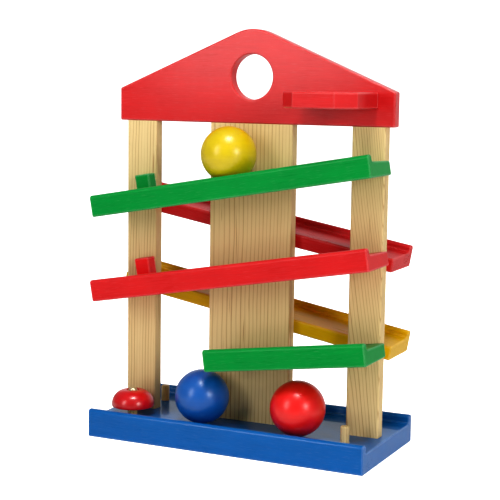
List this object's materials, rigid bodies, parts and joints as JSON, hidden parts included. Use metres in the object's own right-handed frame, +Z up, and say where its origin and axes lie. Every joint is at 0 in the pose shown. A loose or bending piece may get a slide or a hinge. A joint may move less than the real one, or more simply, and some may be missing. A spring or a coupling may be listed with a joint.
{
  "type": "marble run",
  "caption": "Wooden marble run: sloping tracks zigzag down a gabled stand of upright boards to a tray with a bell; a ball starts at a shelf with a hole.",
  "frame": {"origin": "centre of the tray's flat underside, on the table", "axes": "+X to the right as seen from the side with the start shelf, +Y to the rear, +Z up"},
  "size_m": [0.2776, 0.133, 0.3788],
  "materials": {
    "natural_pine": "sanded pine under a thin clear varnish",
    "beech_dowel": "plain turned beech",
    "red_lacquer": "semi-gloss red lacquer",
    "green_lacquer": "semi-gloss green lacquer",
    "blue_lacquer": "glossy blue lacquer",
    "yellow_lacquer": "semi-gloss yellow lacquer",
    "ball_yellow_gloss": "high-gloss yellow lacquer",
    "ball_blue_gloss": "high-gloss blue lacquer",
    "ball_red_gloss": "high-gloss red lacquer",
    "red_enamel": "glossy red enamel",
    "brass": "bright",
    "zinc_screw": "zinc plated"
  },
  "bodies": {
    "frame": {"base_tray": "blue_lacquer", "left_post": "natural_pine", "middle_post": "natural_pine", "right_post": "natural_pine", "gable": "red_lacquer", "start_shelf": "red_lacquer", "track_1_green": "green_lacquer", "track_2_red": "red_lacquer", "track_3_red": "red_lacquer", "track_4_yellow": "yellow_lacquer", "track_5_green": "green_lacquer", "stop_1_green": "green_lacquer", "stop_2_red": "red_lacquer", "stop_3_red": "red_lacquer", "stop_4_yellow": "yellow_lacquer", "stop_peg_front_right": "natural_pine", "stop_peg_rear_left": "natural_pine", "stop_peg_rear_right": "natural_pine", "bell_spacer": "beech_dowel", "bell_washer": "brass", "bell_screw": "brass", "gable_dowels": "beech_dowel", "shelf_dowels": "beech_dowel", "track_dowels": "beech_dowel", "tray_screws": "zinc_screw"},
    "yellow_ball": {"ball_yellow": "ball_yellow_gloss"},
    "blue_ball": {"ball_blue": "ball_blue_gloss"},
    "red_ball": {"ball_red": "ball_red_gloss"},
    "bell": {"bell_dome": "red_enamel"}
  },
  "joints": [
    {"name": "yellow_ball_roll", "type": "slide", "parent": "frame", "child": "yellow_ball", "axis": [-0.9848, 0, -0.1736], "range_m": [-0.097, 0.072]},
    {"name": "blue_ball_roll", "type": "slide", "parent": "frame", "child": "blue_ball", "axis": [1, 0, 0], "range_m": [-0.0303, 0.0225]},
    {"name": "red_ball_roll", "type": "slide", "parent": "frame", "child": "red_ball", "axis": [1, 0, 0], "range_m": [-0.0225, 0.0185]},
    {"name": "bell_turn", "type": "hinge", "parent": "frame", "child": "bell", "pos_m": [-0.1075, -0.0315, 0.03], "axis": [0, 0, 1], "continuous": true}
  ]
}
